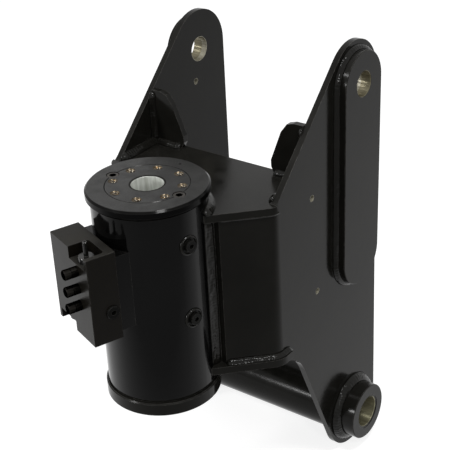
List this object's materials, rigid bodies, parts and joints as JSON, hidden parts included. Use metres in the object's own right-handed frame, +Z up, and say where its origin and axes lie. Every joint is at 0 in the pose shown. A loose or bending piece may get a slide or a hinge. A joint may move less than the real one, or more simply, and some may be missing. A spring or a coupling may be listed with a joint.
{
  "type": "hydraulic rotator",
  "caption": "Helical hydraulic rotary actuator welded in a two-ear pivot bracket with a counterbalance valve block on its side.",
  "frame": {"origin": "centre of the cross tube's pivot bore, midway between the ears", "axes": "+X along the pivot bore towards the right ear, +Z up along the rotator, ears at +Y and rotator at -Y"},
  "size_m": [0.308, 0.442, 0.602],
  "materials": {
    "black_paint": "glossy black enamel",
    "weld_paint": "glossy black enamel over weld beads",
    "dark_machined": "turned, dark satin",
    "shaft_steel": "turned, dark satin",
    "gear_steel": "hobbed and oiled",
    "bush_steel": "bored and greased",
    "black_oxide": "blackened",
    "zinc_steel": "plated",
    "bearing_bronze": "plain",
    "bearing_plastic": "filled bearing plastic",
    "seal_rubber": "moulded"
  },
  "bodies": {
    "bracket": {"housing": "black_paint", "ring_gear": "gear_steel", "side_plate_right": "black_paint", "side_plate_left": "black_paint", "doubler_right": "black_paint", "doubler_left": "black_paint", "doubler_weld_right": "weld_paint", "doubler_weld_left": "weld_paint", "tube_weld_right": "weld_paint", "tube_weld_left": "weld_paint", "top_plate": "black_paint", "bottom_plate": "black_paint", "gusset_right": "black_paint", "gusset_left": "black_paint", "pivot_tube": "black_paint", "pivot_bush_right": "bush_steel", "pivot_bush_left": "bush_steel", "valve_saddle": "black_paint", "valve_block": "black_paint", "cartridge_upper": "zinc_steel", "cartridge_lower": "zinc_steel", "block_stub_plugs": "black_oxide", "block_plug": "black_oxide", "block_screws": "black_oxide", "port_plugs": "black_oxide", "port_washers": "black_oxide", "upper_bearing": "bearing_plastic", "lower_bearing": "bearing_plastic", "upper_seal": "seal_rubber", "lower_seal": "seal_rubber", "upper_thrust_washer": "bearing_bronze", "lower_thrust_washer": "bearing_bronze"},
    "output_shaft": {"shaft": "shaft_steel", "end_cap": "dark_machined", "lock_screws": "black_oxide"},
    "piston_rings": {"piston_outer_seal": "seal_rubber", "piston_guide_ring": "bearing_plastic"},
    "piston": {"piston": "gear_steel", "piston_inner_seal": "seal_rubber"}
  },
  "joints": [
    {"name": "shaft_turn", "type": "hinge", "parent": "bracket", "child": "output_shaft", "pos_m": [0, -0.25, 0.3], "axis": [0, 0, 1], "range_deg": [-90, 90]},
    {"name": "piston_slide", "type": "slide", "parent": "bracket", "child": "piston_rings", "axis": [0, 0, 1], "range_m": [-0.025, 0.025]},
    {"name": "piston_turn", "type": "hinge", "parent": "piston_rings", "child": "piston", "pos_m": [0, -0.25, 0.3], "axis": [0, 0, 1], "range_deg": [-45, 45]}
  ],
  "couplings": [
    {"joint": "piston_slide", "follows": "shaft_turn", "m_per_rad": 0.015915},
    {"joint": "piston_turn", "follows": "shaft_turn", "ratio": 0.5}
  ]
}
